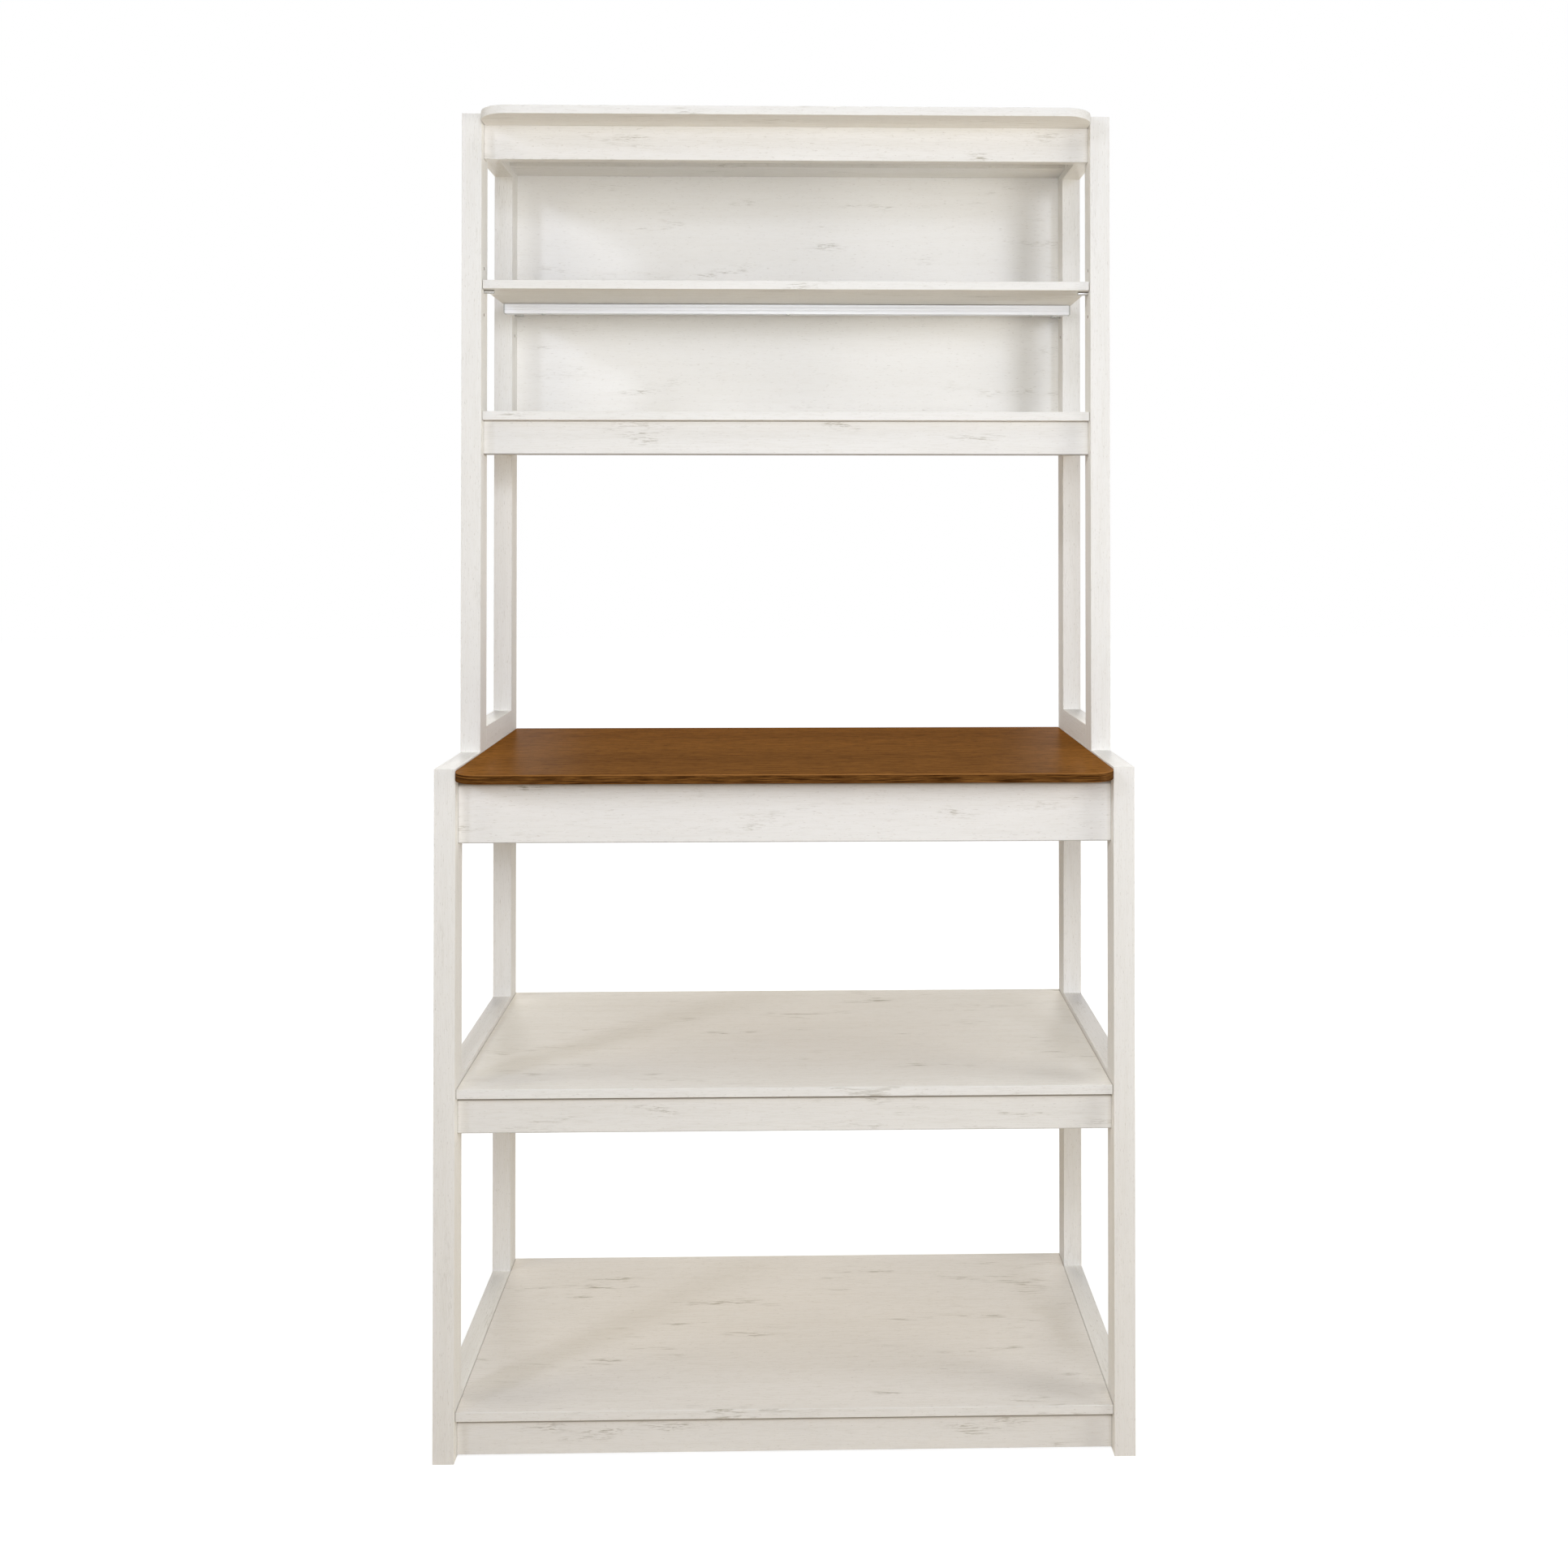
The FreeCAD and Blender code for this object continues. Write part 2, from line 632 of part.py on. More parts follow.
# the bar is a rectangular tube with two shallow grooves along its front
bar = DOC.addObject("PartDesign::Body", "shelf_stiffener")
bar.Label = "shelf_stiffener"
bar_sketch = sketch_on(bar, "stiffener_section", "x", "0")
outer = rectangle(bar_sketch, "bar_depth", "bar_height")
bar_sketch.addConstraint(Sketcher.Constraint("Coincident", outer, 1, -1, 1))
inner = rectangle(bar_sketch, "bar_depth-2*bar_wall", "bar_height-2*bar_wall", inset=1)
measure(bar_sketch, ("DistanceX", outer, 1, inner, 1), "bar_wall")
measure(bar_sketch, ("DistanceY", outer, 1, inner, 1), "bar_wall")
bar_pad = bar.newObject("PartDesign::Pad", "stiffener_tube")
bar_pad.Profile = bar_sketch
bind(bar_pad, "Length", f"2*{TUBE_END}")
place(bar, (f"-{TUBE_END}", BAR_FRONT, BAR_LOW))
LOW["shelf_stiffener"] = (f"-{TUBE_END}", BAR_FRONT, BAR_LOW)
HIGH["shelf_stiffener"] = (TUBE_END, f"({BAR_FRONT}+bar_depth)", BAR_TOP)
NODES["shelf_stiffener"] = bar
groove_sketch = sketch_on(bar, "stiffener_grooves", "x", "0")
for third in (1, 2):
    spot = FreeCAD.Vector(0, third * DRAFT, 0)
    ring = groove_sketch.addGeometry(Part.Circle(spot, UP, 1))
    groove_sketch.addConstraint(Sketcher.Constraint("PointOnObject", ring, 3, -2))
    measure(groove_sketch, ("DistanceY", -1, 1, ring, 3), f"{third}*bar_height/3")
    measure(groove_sketch, ("Radius", ring), "bar_groove")
groove = bar.newObject("PartDesign::Pocket", "stiffener_groove_cut")
groove.Profile = groove_sketch
groove.Reversed = True
bind(groove, "Length", f"2*{TUBE_END}")
drill("shelf_stiffener", "+z", screw_spots, SCREW_HOLE, "bar_height")

for side, sign in SIDES:
    low_x, high_x = (f"-{BAR_END}", f"-{TUBE_END}") if sign < 0 else (TUBE_END, BAR_END)
    board(
        f"stiffener_end_cap_{side}",
        (low_x, BAR_FRONT, BAR_LOW),
        (high_x, f"({BAR_FRONT}+bar_depth)", BAR_TOP),
        "x",
    )

screw = turned(
    "screw",
    ("screw_head_diameter/2", "screw_head_height"),
    ("screw_diameter/2", "(bar_height+bar_gap+screw_bite)"),
)
heads = [("+z", (x, y, f"{BAR_LOW}-screw_head_height")) for x, y, _ in screw_spots]
fasteners("stiffener_screws", screw, heads)
washer_body = primitive("Cylinder", "washer_body", Radius="screw_head_diameter/2", Height="bar_gap")
washer_bore = primitive(
    "Cylinder", "washer_bore", Radius="screw_diameter/2+dowel_clearance", Height="bar_gap"
)
washer = cut("washer", washer_body, washer_bore)
fasteners("stiffener_spacers", washer, [("+z", spot) for spot in screw_spots])

# ---------------------------------------------------------------- checks and files
DOC.recompute()
for thing in DOC.Objects:
    if {"Invalid", "Error"} & set(thing.State):
        raise RuntimeError(f"{thing.Name} failed: {thing.State}")
for body in (thing for thing in DOC.Objects if thing.TypeId == "PartDesign::Body"):
    for feature in body.Group:
        if feature.TypeId == "PartDesign::Pocket":
            before = feature.BaseFeature.Shape.Volume
            if not feature.Shape.Volume < before - 0.01:
                raise RuntimeError(f"{feature.Name} cuts nothing")
for name, thing in NODES.items():
    if thing.Shape.isNull() or not thing.Shape.isValid() or not thing.Shape.Solids:
        raise RuntimeError(f"{name} has no valid solid")

os.makedirs("parts", exist_ok=True)
for name, thing in NODES.items():
    thing.Shape.exportStep(f"parts/{name}.step")
print(len(NODES), "nodes,", sum(len(thing.Shape.Solids) for thing in NODES.values()), "solids")
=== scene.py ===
"""Looks of the bakers rack: materials, small fittings, light and camera.

Everything is in metres, in the row's frame.
"""
import math

import bmesh
import bpy
from mathutils import Matrix, Vector


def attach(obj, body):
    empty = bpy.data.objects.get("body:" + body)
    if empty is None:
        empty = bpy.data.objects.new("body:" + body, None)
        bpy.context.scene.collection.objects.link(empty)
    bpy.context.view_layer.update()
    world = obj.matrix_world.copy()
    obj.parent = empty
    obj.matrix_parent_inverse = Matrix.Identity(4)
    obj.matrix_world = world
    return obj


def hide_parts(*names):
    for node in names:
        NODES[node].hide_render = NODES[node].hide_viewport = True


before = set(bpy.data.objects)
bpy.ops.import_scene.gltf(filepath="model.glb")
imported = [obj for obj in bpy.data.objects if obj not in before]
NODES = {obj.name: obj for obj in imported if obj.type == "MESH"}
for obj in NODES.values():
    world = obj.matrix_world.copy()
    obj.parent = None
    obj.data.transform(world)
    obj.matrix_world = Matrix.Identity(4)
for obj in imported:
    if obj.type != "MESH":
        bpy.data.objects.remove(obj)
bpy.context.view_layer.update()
scene = bpy.context.scene
scene.view_settings.view_transform = "Standard"
MM = 0.001


# ---------------------------------------------------------------- node graphs
class Graph:
    """A material's node tree, built by naming nodes and what feeds their sockets."""

    # each piece's grain starts somewhere else, at most this far away, in metres
    APART = (13.0, 7.0, 5.0)
    # how much of a painted line's width has its full strength, before the line fades out
    FULL = 0.6
    FULL_AT_END = 0.5

    def __init__(self, owner):
        owner.use_nodes = True
        self.tree = owner.node_tree
        self.tree.nodes.clear()

    def add(self, kind, sockets=None, **settings):
        node = self.tree.nodes.new("ShaderNode" + kind)
        for key, value in settings.items():
            setattr(node, key, value)
        for key, value in (sockets or {}).items():
            self.feed(node.inputs[key], value)
        return node

    def feed(self, socket, value):
        if isinstance(value, bpy.types.NodeSocket):
            self.tree.links.new(value, socket)
        else:
            socket.default_value = value

    def math(self, operation, first, second=0.0):
        node = self.add("Math", {0: first, 1: second}, operation=operation)
        return node.outputs[0]

    def vector(self, operation, first, second):
        node = self.add("VectorMath", {0: first, 1: second}, operation=operation)
        return node.outputs[0]

    def joined(self, *values):
        """A vector of up to three values."""
        return self.add("CombineXYZ", dict(enumerate(values))).outputs[0]

    def mix(self, factor, first, second):
        """Two colours mixed; a colour is a socket or three numbers."""
        node = self.add("Mix", data_type="RGBA", blend_type="MIX")
        for index, value in ((0, factor), (6, first), (7, second)):
            plain = isinstance(value, tuple)
            self.feed(node.inputs[index], (*value, 1.0) if plain else value)
        return node.outputs[2]

    def step(self, value, low, high, start=0.0, end=1.0):
        """A smooth step of a value between two thresholds."""
        sockets = {
            "Value": value,
            "From Min": low,
            "From Max": high,
            "To Min": start,
            "To Max": end,
        }
        node = self.add("MapRange", sockets, interpolation_type="SMOOTHSTEP")
        return node.outputs["Result"]

    def noise(self, spot, along, across, detail=2.0, roughness=0.5):
        """Noise stretched along the grain. along and across are features per metre."""
        sockets = {
            "Vector": self.vector("MULTIPLY", spot, (along, across, across)),
            "Scale": 1.0,
            "Detail": detail,
            "Roughness": roughness,
        }
        return self.add("TexNoise", sockets).outputs["Fac"]

    def coordinates(self, source):
        """The X, Y and Z of one of the object's own texture coordinates."""
        return self.add("SeparateXYZ", {0: self.add("TexCoord").outputs[source]}).outputs

    def grain_space(self, axis):
        """Object coordinates with the grain's axis first, shifted for each piece."""
        here = self.add("TexCoord").outputs["Object"]
        chance = self.add("ObjectInfo").outputs["Random"]
        apart = self.vector("MULTIPLY", self.joined(chance, chance, chance), self.APART)
        split = self.add("SeparateXYZ", {0: self.vector("ADD", here, apart)}).outputs
        order = {"x": (0, 1, 2), "y": (1, 0, 2), "z": (2, 0, 1)}[axis]
        return self.joined(*(split[index] for index in order))

    def inwards(self, place):
        """A share of the box's length as its distance from the nearer end."""
        return self.math("MINIMUM", place, self.math("SUBTRACT", 1.0, place))

    def near_ends(self, width):
        """1 close to the left and right ends of the piece's box, 0 elsewhere. width is a share."""
        edge = self.inwards(self.coordinates("Generated")["X"])
        return self.step(edge, width * self.FULL_AT_END, width, 1.0, 0.0)

    def near_top(self, share):
        """1 in the top share of the piece's box, 0 below it."""
        place = self.coordinates("Generated")["Z"]
        return self.step(place, 1.0 - share, 1.0 - share * self.FULL)

    def near_foot(self, share):
        """1 in the lowest share of the piece's box, 0 above it."""
        place = self.coordinates("Generated")["Z"]
        return self.step(place, share * self.FULL, share, 1.0, 0.0)

    def enclosed(self, margin):
        """1 on surfaces inside the piece's box, such as the wall of a hole. margin is a share."""
        place = self.coordinates("Generated")
        least = 0.5
        for letter in "XYZ":
            least = self.math("MINIMUM", least, self.inwards(place[letter]))
        return self.step(least, margin, margin * 1.3)

    def seen(self):
        """1 for rays from the camera, and for those that a gloss or glass sends on."""
        path = self.add("LightPath").outputs
        seen = self.math("MAXIMUM", path["Is Camera Ray"], path["Is Glossy Ray"])
        return self.math("MAXIMUM", seen, path["Is Transmission Ray"])

    def surface(self, height, strength, depth, **sockets):
        """The principled shader, with a bump from a height socket. depth is in metres."""
        shader = self.add("BsdfPrincipled", {k.replace("_", " "): v for k, v in sockets.items()})
        bump = self.add("Bump", {"Strength": strength, "Distance": depth, "Height": height})
        self.tree.links.new(bump.outputs["Normal"], shader.inputs["Normal"])
        output = self.add("OutputMaterial")
        self.tree.links.new(shader.outputs[0], output.inputs["Surface"])


def material(name):
    made = bpy.data.materials.new(name)
    return made, Graph(made)


# ---------------------------------------------------------------- materials
LAMINATE_BUMP = 0.12 * MM

WHITE = (0.868, 0.842, 0.798)
WHITE_DEEP = (0.772, 0.738, 0.675)
SMUDGE = (0.345, 0.305, 0.22)
TICK = (0.37, 0.315, 0.235)
# painted shade: the colour of the shadow in the gaps at the boards' ends and under overhanging boards
PAINTED_GAP_SHADE = (0.17, 0.135, 0.10)
CHIPBOARD = (0.30, 0.20, 0.115)
END_LINE = 0.0016
END_LINE_STRENGTH = 0.35
HOLE_MARGIN = 0.0095


def antique_white(name, axis, ticks, wear, ends=False, holes=False, light=WHITE, deep=WHITE_DEEP,
                  fine=1.0, head=(), foot=(), upper=()):
    """Matt off-white laminate: fine grain, short dark ticks and rubbed grey-brown streaks.

    axis is the grain's. ticks and wear are the strengths of the ticks and of the rubbed streaks,
    and fine below 1 makes fibres and streaks coarser. ends adds a painted shadow line at the board's
    two ends, and holes shows the bare core in the walls of holes. head and foot are a painted shadow
    line's share of the height and its strength. upper tints the faces that look up: painted light on
    the tops where it is above 1, painted shade where it is below 1.
    """
    made, g = material("antique_white_" + name)
    spot = g.grain_space(axis)
    drift = g.noise(spot, 1.5, 9.0, 2.0)
    bands = g.noise(spot, 5.0, 130.0, 3.0, 0.6)
    fibre = g.noise(spot, 45.0, 850.0 * fine, 3.0, 0.65)
    pores = g.noise(spot, 150.0, 900.0, 1.0)
    patch = g.noise(spot, 8.0, 38.0, 2.0, 0.6)
    streak = g.noise(spot, 65.0 * fine, 620.0 * fine, 3.0, 0.65)
    slow = g.math("ADD", g.step(drift, 0.35, 0.65, 0.0, 0.15), g.step(bands, 0.42, 0.70, 0.0, 0.18))
    tone = g.math("ADD", slow, g.step(fibre, 0.45, 0.70, 0.0, 0.45))
    colour = g.mix(tone, light, deep)
    dark = g.step(pores, 0.66, 0.74, 0.0, ticks)
    colour = g.mix(dark, colour, TICK)
    rubbed = g.math("MULTIPLY", g.step(patch, 0.58, 0.76), g.step(streak, 0.48, 0.62, 0.0, wear))
    colour = g.mix(rubbed, colour, SMUDGE)
    # painted shadow line in the gaps at the board's two ends
    if ends:
        line = g.math("MULTIPLY", g.near_ends(END_LINE), END_LINE_STRENGTH)
        colour = g.mix(line, colour, PAINTED_GAP_SHADE)
    # painted shadow lines at the top and at the foot of the board
    for shade, near in ((head, g.near_top), (foot, g.near_foot)):
        if shade:
            share, strength = shade
            colour = g.mix(g.math("MULTIPLY", near(share), strength), colour, PAINTED_GAP_SHADE)
    # painted light or painted shade on the faces that look up, by the factor in upper
    if upper:
        painted_top_light = g.step(g.coordinates("Normal")["Z"], 0.5, 0.9)
        colour = g.mix(painted_top_light, colour, g.vector("MULTIPLY", colour, upper))
    if holes:
        colour = g.mix(g.enclosed(HOLE_MARGIN), colour, CHIPBOARD)
    height = g.math("SUBTRACT", fibre, g.math("MULTIPLY", dark, 0.8))
    sheen = g.step(bands, 0.3, 0.7, 0.50, 0.60)
    g.surface(height, 0.35, LAMINATE_BUMP, Base_Color=colour, Roughness=sheen,
              Specular_IOR_Level=0.15)
    return made


WALNUT_LIGHT = (0.293, 0.120, 0.024)
WALNUT_DEEP = (0.128, 0.047, 0.008)
WALNUT_PORE = (0.060, 0.020, 0.003)
BAND_LIGHT = (0.200, 0.084, 0.020)
BAND_DEEP = (0.036, 0.011, 0.001)
# painted highlight along the top of the worktop's edge band
PAINTED_EDGE_HIGHLIGHT = (0.300, 0.130, 0.035)
PAINTED_EDGE_HIGHLIGHT_SHARE = 0.16


def walnut():
    """Satin brown laminate with a fine grain along X, and a darker streaked band round its edge, with a
    painted highlight along the band's top.

    Painted light makes the flat face a little lighter towards the back, and a painted sheen lightens
    its two front corners.
    """
    made, g = material("walnut")
    spot = g.grain_space("x")
    drift = g.noise(spot, 1.1, 7.0, 2.0)
    fibre = g.noise(spot, 20.0, 210.0, 6.0, 0.75)
    pores = g.noise(spot, 75.0, 540.0, 2.0, 0.6)
    tone = g.math("ADD", g.step(drift, 0.3, 0.7, 0.0, 0.25), g.step(fibre, 0.42, 0.62, 0.0, 0.62))
    grain = g.mix(tone, WALNUT_LIGHT, WALNUT_DEEP)
    grain = g.mix(g.step(pores, 0.56, 0.68, 0.0, 0.6), grain, WALNUT_PORE)
    # painted light: lighter towards the back, with a painted sheen at the two front corners
    place = g.coordinates("Generated")
    aside = g.math("ABSOLUTE", g.math("SUBTRACT", place["X"], 0.5))
    in_front = g.step(place["Y"], 0.2, 0.65, 0.36, 0.0)
    painted_corner_sheen = g.math("MULTIPLY", g.step(aside, 0.36, 0.5), in_front)
    painted_light = g.math("ADD", g.step(place["Y"], 0.2, 1.0, 0.76, 1.14), painted_corner_sheen)
    face = g.vector("MULTIPLY", grain, g.joined(painted_light, painted_light, painted_light))
    here = g.coordinates("Object")
    round_edge = g.joined(g.math("ADD", here["X"], here["Y"]), here["Z"])
    veins = g.noise(round_edge, 22.0, 850.0, 4.0, 0.7)
    band = g.mix(g.step(veins, 0.38, 0.60), BAND_LIGHT, BAND_DEEP)
    # painted highlight along the band's top
    band = g.mix(g.near_top(PAINTED_EDGE_HIGHLIGHT_SHARE), band, PAINTED_EDGE_HIGHLIGHT)
    flat = g.step(g.math("ABSOLUTE", g.coordinates("Normal")["Z"]), 0.35, 0.85)
    colour = g.mix(flat, band, face)
    height = g.math("SUBTRACT", fibre, pores)
    sheen = g.step(fibre, 0.3, 0.7, 0.46, 0.56)
    g.surface(height, 0.25, LAMINATE_BUMP, Base_Color=colour, Roughness=sheen,
              Specular_IOR_Level=0.0, Coat_Weight=0.035, Coat_Roughness=0.35)
    return made


def bare_wood():
    made, g = material("beech")
    fleck = g.noise(g.grain_space("x"), 90.0, 900.0, 3.0)
    colour = g.mix(g.step(fleck, 0.35, 0.7), (0.62, 0.44, 0.27), (0.44, 0.28, 0.15))
    g.surface(fleck, 0.4, 0.2 * MM, Base_Color=colour, Roughness=0.6)
    return made


def metal(name, light, dark, along, across, smooth, rough, bump=0.08, share=1.0):
    """A metal with fine marks, along and across in marks per metre.

    smooth and rough are the ends of its roughness. A share below 1 gives it a matt coating.
    """
    made, g = material(name)
    marks = g.noise(g.grain_space("x"), along, across, 3.0, 0.6)
    colour = g.mix(g.step(marks, 0.3, 0.75), light, dark)
    sheen = g.step(marks, 0.3, 0.7, smooth, rough)
    g.surface(marks, bump, 0.02 * MM, Base_Color=colour, Metallic=share, Roughness=sheen)
    return made


def grey_plastic():
    made, g = material("grey_plastic")
    fleck = g.noise(g.grain_space("x"), 1400.0, 1400.0, 2.0)
    colour = g.mix(g.step(fleck, 0.3, 0.7), (0.52, 0.52, 0.51), (0.44, 0.44, 0.43))
    g.surface(fleck, 0.5, 0.1 * MM, Base_Color=colour, Roughness=0.45)
    return made


RAIL = antique_white("rail", "x", 0.22, 0.50)
SIDE_RAIL = antique_white("side_rail", "y", 0.30, 0.30)
POST = antique_white("post", "z", 0.28, 0.20, holes=True)
# painted light on the shelves' tops, and painted shade on the bottom shelf's top
SHELF = antique_white("shelf", "x", 0.22, 0.72, ends=True, fine=0.5, upper=(1.06, 1.055, 1.03))
BOTTOM_SHELF = antique_white("bottom_shelf", "x", 0.24, 0.80, ends=True, fine=0.5,
                             upper=(0.93, 0.91, 0.895))
# head and foot are painted shadow lines: under the shelves' front edges and at the aprons' feet
APRON_LOOKS = {
    "top_apron": {},
    "fixed_shelf_apron": {"head": (0.045, 0.40), "foot": (0.045, 0.60)},
    "worktop_apron": {
        # painted light: a brighter copy of the off-white laminate for the worktop apron
        "light": (0.895, 0.872, 0.832),
        "deep": (0.800, 0.770, 0.712),
        "head": (0.14, 0.90),
        "foot": (0.018, 0.55),
    },
    "mid_shelf_apron": {"head": (0.14, 0.85), "foot": (0.03, 0.35)},
    "bottom_shelf_apron": {"head": (0.183, 0.85)},
}
APRONS = {
    name: antique_white(name, "x", 0.24, 0.72, ends=True, **looks)
    for name, looks in APRON_LOOKS.items()
}
# painted light: the back panel gets a brighter copy of the laminate, lifting it out of the hutch's
# shade
BRIGHTENED_PANEL = antique_white("panel", "x", 0.18, 0.55, light=(0.955, 0.930, 0.888),
                      deep=(0.895, 0.862, 0.808))
WALNUT = walnut()
BEECH = bare_wood()
ZINC = metal("zinc", (0.74, 0.74, 0.72), (0.55, 0.55, 0.54), 300.0, 700.0, 0.24, 0.38)
ALUMINIUM = metal("aluminium", (0.81, 0.81, 0.825), (0.78, 0.78, 0.795), 2.5, 1500.0, 0.50, 0.56,
                  bump=0.01, share=0.45)
NICKEL = metal("nickel", (0.60, 0.59, 0.565), (0.45, 0.44, 0.42), 500.0, 500.0, 0.26, 0.38)
PLASTIC = grey_plastic()

FINISHES = {
    **APRONS,
    "worktop": WALNUT,
    "bottom_shelf": BOTTOM_SHELF,
    "mid_shelf": SHELF,
    "fixed_shelf": SHELF,
    "top_panel": SHELF,
    "back_panel": BRIGHTENED_PANEL,
    "shelf_stiffener": ALUMINIUM,
    "frame_dowels": BEECH,
    "cross_rail_dowels": BEECH,
    "board_pegs": BEECH,
    "cam_bolts": ZINC,
    "back_panel_nails": ZINC,
    "stiffener_spacers": ZINC,
    "hutch_insert_nuts": ZINC,
}


def finish_of(name):
    """The material that a CAD node gets, from its name."""
    if name in FINISHES:
        return FINISHES[name]
    if name.startswith("shelf_pin"):
        return NICKEL
    if name.startswith("stiffener_end_cap"):
        return PLASTIC
    if name.endswith("_post"):
        return POST
    side_rail = name.startswith(("base_", "hutch_")) and name.endswith("_rail")
    return SIDE_RAIL if side_rail else RAIL


for node_name, node in NODES.items():
    node.data.materials.clear()
    node.data.materials.append(finish_of(node_name))


# ---------------------------------------------------------------- small fittings
WELD = 0.001 * MM
SMOOTH_BELOW = math.radians(32)


def islands(name):
    """The box of each separate solid of a CAD node: its lowest and highest corner."""
    mesh = bmesh.new()
    mesh.from_mesh(NODES[name].data)
    bmesh.ops.remove_doubles(mesh, verts=mesh.verts, dist=WELD)
    left = set(mesh.verts)
    boxes = []
    while left:
        group = [left.pop()]
        for vert in group:
            for edge in vert.link_edges:
                other = edge.other_vert(vert)
                if other in left:
                    left.discard(other)
                    group.append(other)
        low = Vector([min(v.co[i] for v in group) for i in range(3)])
        high = Vector([max(v.co[i] for v in group) for i in range(3)])
        boxes.append((low, high))
    mesh.free()
    return sorted(boxes, key=lambda box: tuple(round(c, 5) for c in box[0]))


def lathe(profile, segments=32):
    """A closed solid of revolution about Z from (radius, height) pairs, bottom to top."""
    mesh = bmesh.new()
    rings = []
    for radius, height in profile:
        if radius <= 0:
            rings.append([mesh.verts.new((0, 0, height))])
            continue
        ring = []
        for index in range(segments):
            angle = 2 * math.pi * index / segments
            spot = (radius * math.cos(angle), radius * math.sin(angle), height)
            ring.append(mesh.verts.new(spot))
        rings.append(ring)
    for lower, upper in zip(rings, rings[1:]):
        for index in range(segments):
            after = (index + 1) % segments
            corners = [lower[index % len(lower)], lower[after % len(lower)]]
            corners += [upper[after % len(upper)], upper[index % len(upper)]]
            unique = list(dict.fromkeys(corners))
            if len(unique) > 2:
                mesh.faces.new(unique)
    return mesh


def prism(points, low, high, taper=1.0):
    """A straight solid between two heights over an outline, narrowed at its lower end."""
    mesh = bmesh.new()
    bottom = [mesh.verts.new((x * taper, y * taper, low)) for x, y in points]
    top = [mesh.verts.new((x, y, high)) for x, y in points]
    mesh.faces.new(bottom[::-1])
    mesh.faces.new(top)
    for index in range(len(points)):
        after = (index + 1) % len(points)
        mesh.faces.new([bottom[index], bottom[after], top[after], top[index]])
    return mesh


def mesh_data(name, mesh):
    """A bmesh as mesh data. The bmesh is freed."""
    data = bpy.data.meshes.new(name)
    mesh.to_mesh(data)
    mesh.free()
    return data


def solid(name, mesh):
    made = bpy.data.objects.new(name, mesh_data(name, mesh))
    scene.collection.objects.link(made)
    return made


def carved(name, base, tool):
    """The first mesh with the second cut out of it."""
    whole, cutter = solid(name, base), solid(name + "_tool", tool)
    change = whole.modifiers.new("recess", "BOOLEAN")
    change.operation, change.solver, change.object = "DIFFERENCE", "EXACT", cutter
    bpy.context.view_layer.update()
    shown = whole.evaluated_get(bpy.context.evaluated_depsgraph_get())
    result = bpy.data.meshes.new_from_object(shown)
    bpy.data.objects.remove(whole)
    bpy.data.objects.remove(cutter)
    return result


def cross_outline(reach, width):
    """The outline of a plus sign."""
    w = width / 2
    quarter = [(reach, -w), (reach, w), (w, w), (w, reach), (-w, reach), (-w, w)]
    return quarter + [(-x, -y) for x, y in quarter]


def hexagon(radius):
    angles = [math.pi / 3 * k for k in range(6)]
    return [(radius * math.cos(a), radius * math.sin(a)) for a in angles]


def fitted(name, master, places, stands_for, body, finish):
    """One piece of many copies of a master mesh, in place of a CAD node's fasteners."""
    mesh = bmesh.new()
    for place in places:
        before = len(mesh.verts)
        mesh.from_mesh(master)
        mesh.verts.ensure_lookup_table()
        bmesh.ops.transform(mesh, matrix=place, verts=mesh.verts[before:])
    piece = solid(name, mesh)
    piece.data.materials.append(finish)
    for face in piece.data.polygons:
        face.use_smooth = True
    piece.data.set_sharp_from_angle(angle=SMOOTH_BELOW)
    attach(piece, body)
    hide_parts(stands_for)
    return piece


def thread(core, crest, start, end, pitch):
    """Profile points of thread ridges between two heights."""
    points = []
    height = start
    while height + pitch <= end:
        crest_height, foot_height = height + pitch * 0.45, height + pitch * 0.9
        points += [(core, height), (crest, crest_height), (core, foot_height)]
        height += pitch
    return points


def screw_master(low, high):
    """A pan-head screw pointing up, its head down, with a cross recess."""
    reach = high.z - low.z
    wide = (high.x - low.x) / 2
    tall, shank, crest, pitch = 2.0 * MM, 1.25 * MM, 1.8 * MM, 1.3 * MM
    dome = [(0, 0), (wide * 0.45, 0.1 * MM), (wide * 0.8, 0.6 * MM), (wide, 1.4 * MM)]
    neck = [(wide, tall), (crest * 0.9, tall)]
    ridges = thread(shank, crest, tall + 1.0 * MM, reach - 2.5 * MM, pitch)
    tip = [(shank, reach - 2.2 * MM), (0, reach)]
    base = lathe(dome + neck + ridges + tip, 28)
    tool = prism(cross_outline(2.1 * MM, 0.9 * MM), -1 * MM, 1.3 * MM)
    return carved("screw", base, tool)


def bolt_master(low, high):
    """A flat-head bolt pointing up, its head down, with a hexagon socket."""
    reach = high.z - low.z
    wide = (high.x - low.x) / 2
    tall, shank, ease, pitch = 3.0 * MM, 3.0 * MM, 1.0 * MM, 1.0 * MM
    head = [(0, 0), (wide - ease, 0), (wide, ease), (wide, tall), (shank, tall)]
    ridges = thread(shank - 0.4 * MM, shank, reach - 22 * MM, reach - 1.2 * MM, pitch)
    end = [(shank, reach - ease), (shank - 0.8 * MM, reach), (0, reach)]
    return carved("bolt", lathe(head + ridges + end, 32), prism(hexagon(2.3 * MM), -1 * MM, 2.2 * MM))


